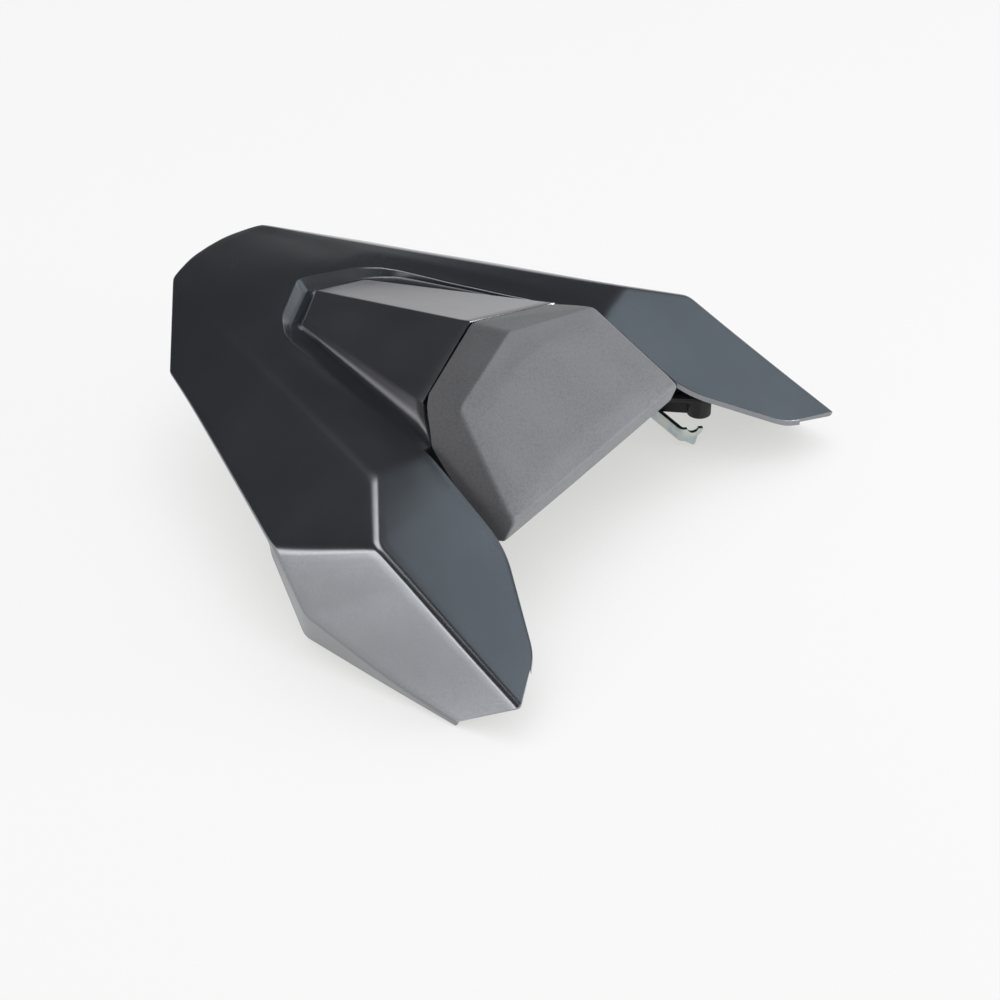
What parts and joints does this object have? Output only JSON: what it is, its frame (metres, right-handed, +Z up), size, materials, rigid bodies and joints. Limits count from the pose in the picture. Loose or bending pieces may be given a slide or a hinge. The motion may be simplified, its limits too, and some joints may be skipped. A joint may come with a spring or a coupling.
{
  "type": "seat cowl",
  "caption": "Motorcycle seat cowl with a faceted grey tail shell, two swept wings, a raised hump, a sloping padded backrest and steel hooks under the front.",
  "frame": {"origin": "on the floor under the middle of the overall length and width, with the cowl lying as it does in the picture", "axes": "+X across to the cowl's one side, +Y towards the tail, +Z up"},
  "size_m": [0.3382, 0.3259, 0.1147],
  "materials": {
    "shell_paint": "satin dark grey paint with a soft sheen",
    "hump_plastic": "satin dark grey moulding",
    "pad_cover": "fine grained grey vinyl",
    "black_plastic": "moulded black",
    "zinc_steel": "bright zinc plated",
    "black_steel": "black oxide",
    "buffer_rubber": "matt black"
  },
  "bodies": {
    "root": {"outer_shell": "shell_paint", "hump_cover": "hump_plastic", "backrest_pad": "pad_cover", "pad_backing_plate": "black_plastic", "seat_pan": "black_plastic", "hook_bracket_left": "zinc_steel", "hook_bracket_right": "zinc_steel", "hook_bolts": "zinc_steel", "hook_washers": "zinc_steel", "hook_nuts": "zinc_steel", "striker_plate": "zinc_steel", "striker_loop": "zinc_steel", "striker_screws": "zinc_steel", "front_buffer_left": "buffer_rubber", "front_buffer_right": "buffer_rubber", "rear_buffer_left": "buffer_rubber", "rear_buffer_right": "buffer_rubber", "shell_screws": "black_steel", "hump_screws": "black_steel", "pad_screws": "black_steel"}
  },
  "joints": []
}
